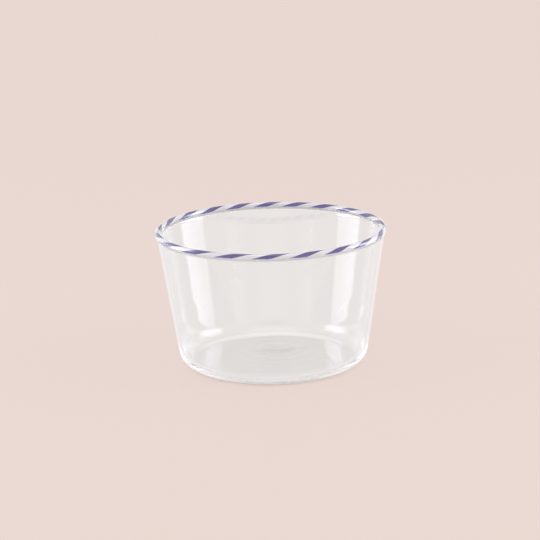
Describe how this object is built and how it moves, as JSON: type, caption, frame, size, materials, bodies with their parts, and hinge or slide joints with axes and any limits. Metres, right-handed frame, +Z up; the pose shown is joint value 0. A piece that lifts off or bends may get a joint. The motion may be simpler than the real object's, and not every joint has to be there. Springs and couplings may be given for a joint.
{
  "type": "dessert bowl",
  "caption": "Clear blown glass dessert bowl with a flat foot, flared straight wall and a twisted cane of milky and blue glass fused round its lip.",
  "frame": {"origin": "centre of the flat foot that the bowl stands on", "axes": "+Z up along the bowl's axis, from the foot to the open mouth; -Y faces the picture's camera"},
  "size_m": [0.1194, 0.1194, 0.0716],
  "materials": {
    "clear_glass": "clear, fire-polished blown glass",
    "cane_glass": "pale, slightly milky glass rod, fire-polished",
    "blue_glass": "deep violet-blue coloured glass, flush and glossy"
  },
  "bodies": {
    "root": {"bowl_body": "clear_glass", "rim_cane": "cane_glass", "blue_stripe_1": "blue_glass", "blue_stripe_2": "blue_glass"}
  },
  "joints": []
}
